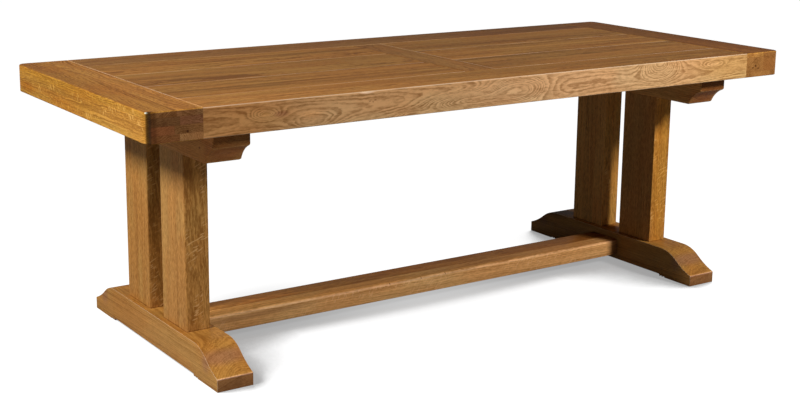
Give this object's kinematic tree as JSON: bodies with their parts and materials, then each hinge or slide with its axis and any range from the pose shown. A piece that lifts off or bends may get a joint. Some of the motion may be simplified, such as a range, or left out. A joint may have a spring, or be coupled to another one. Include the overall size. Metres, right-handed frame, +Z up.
{
  "type": "trestle dining table",
  "caption": "Long oak trestle dining table with a thick framed top, breadboard ends, twin-post trestles on shaped feet and a low stretcher.",
  "frame": {"origin": "on the floor under the middle of the top", "axes": "+X along the table's length, to the right seen from the front; +Y from front to back; +Z up"},
  "size_m": [2.204, 0.904, 0.76],
  "materials": {
    "oak_top": "honey oak, satin lacquer",
    "oak_trestle": "honey oak, satin lacquer",
    "zinc_steel": "bright zinc plate",
    "brass": "turned brass"
  },
  "bodies": {
    "root": {"front_rail": "oak_top", "back_rail": "oak_top", "centre_rail": "oak_top", "breadboard_end_left": "oak_top", "breadboard_end_right": "oak_top", "plank_left_front": "oak_top", "plank_left_middle": "oak_top", "plank_left_back": "oak_top", "plank_right_front": "oak_top", "plank_right_middle": "oak_top", "plank_right_back": "oak_top", "bearer_left": "oak_trestle", "bearer_right": "oak_trestle", "foot_left": "oak_trestle", "foot_right": "oak_trestle", "post_left_front": "oak_trestle", "post_left_back": "oak_trestle", "post_right_front": "oak_trestle", "post_right_back": "oak_trestle", "stretcher": "oak_trestle", "top_bolts": "zinc_steel", "top_washers": "zinc_steel", "stretcher_bolts": "zinc_steel", "stretcher_washers": "zinc_steel", "top_inserts": "brass", "stretcher_inserts": "brass"}
  },
  "joints": []
}
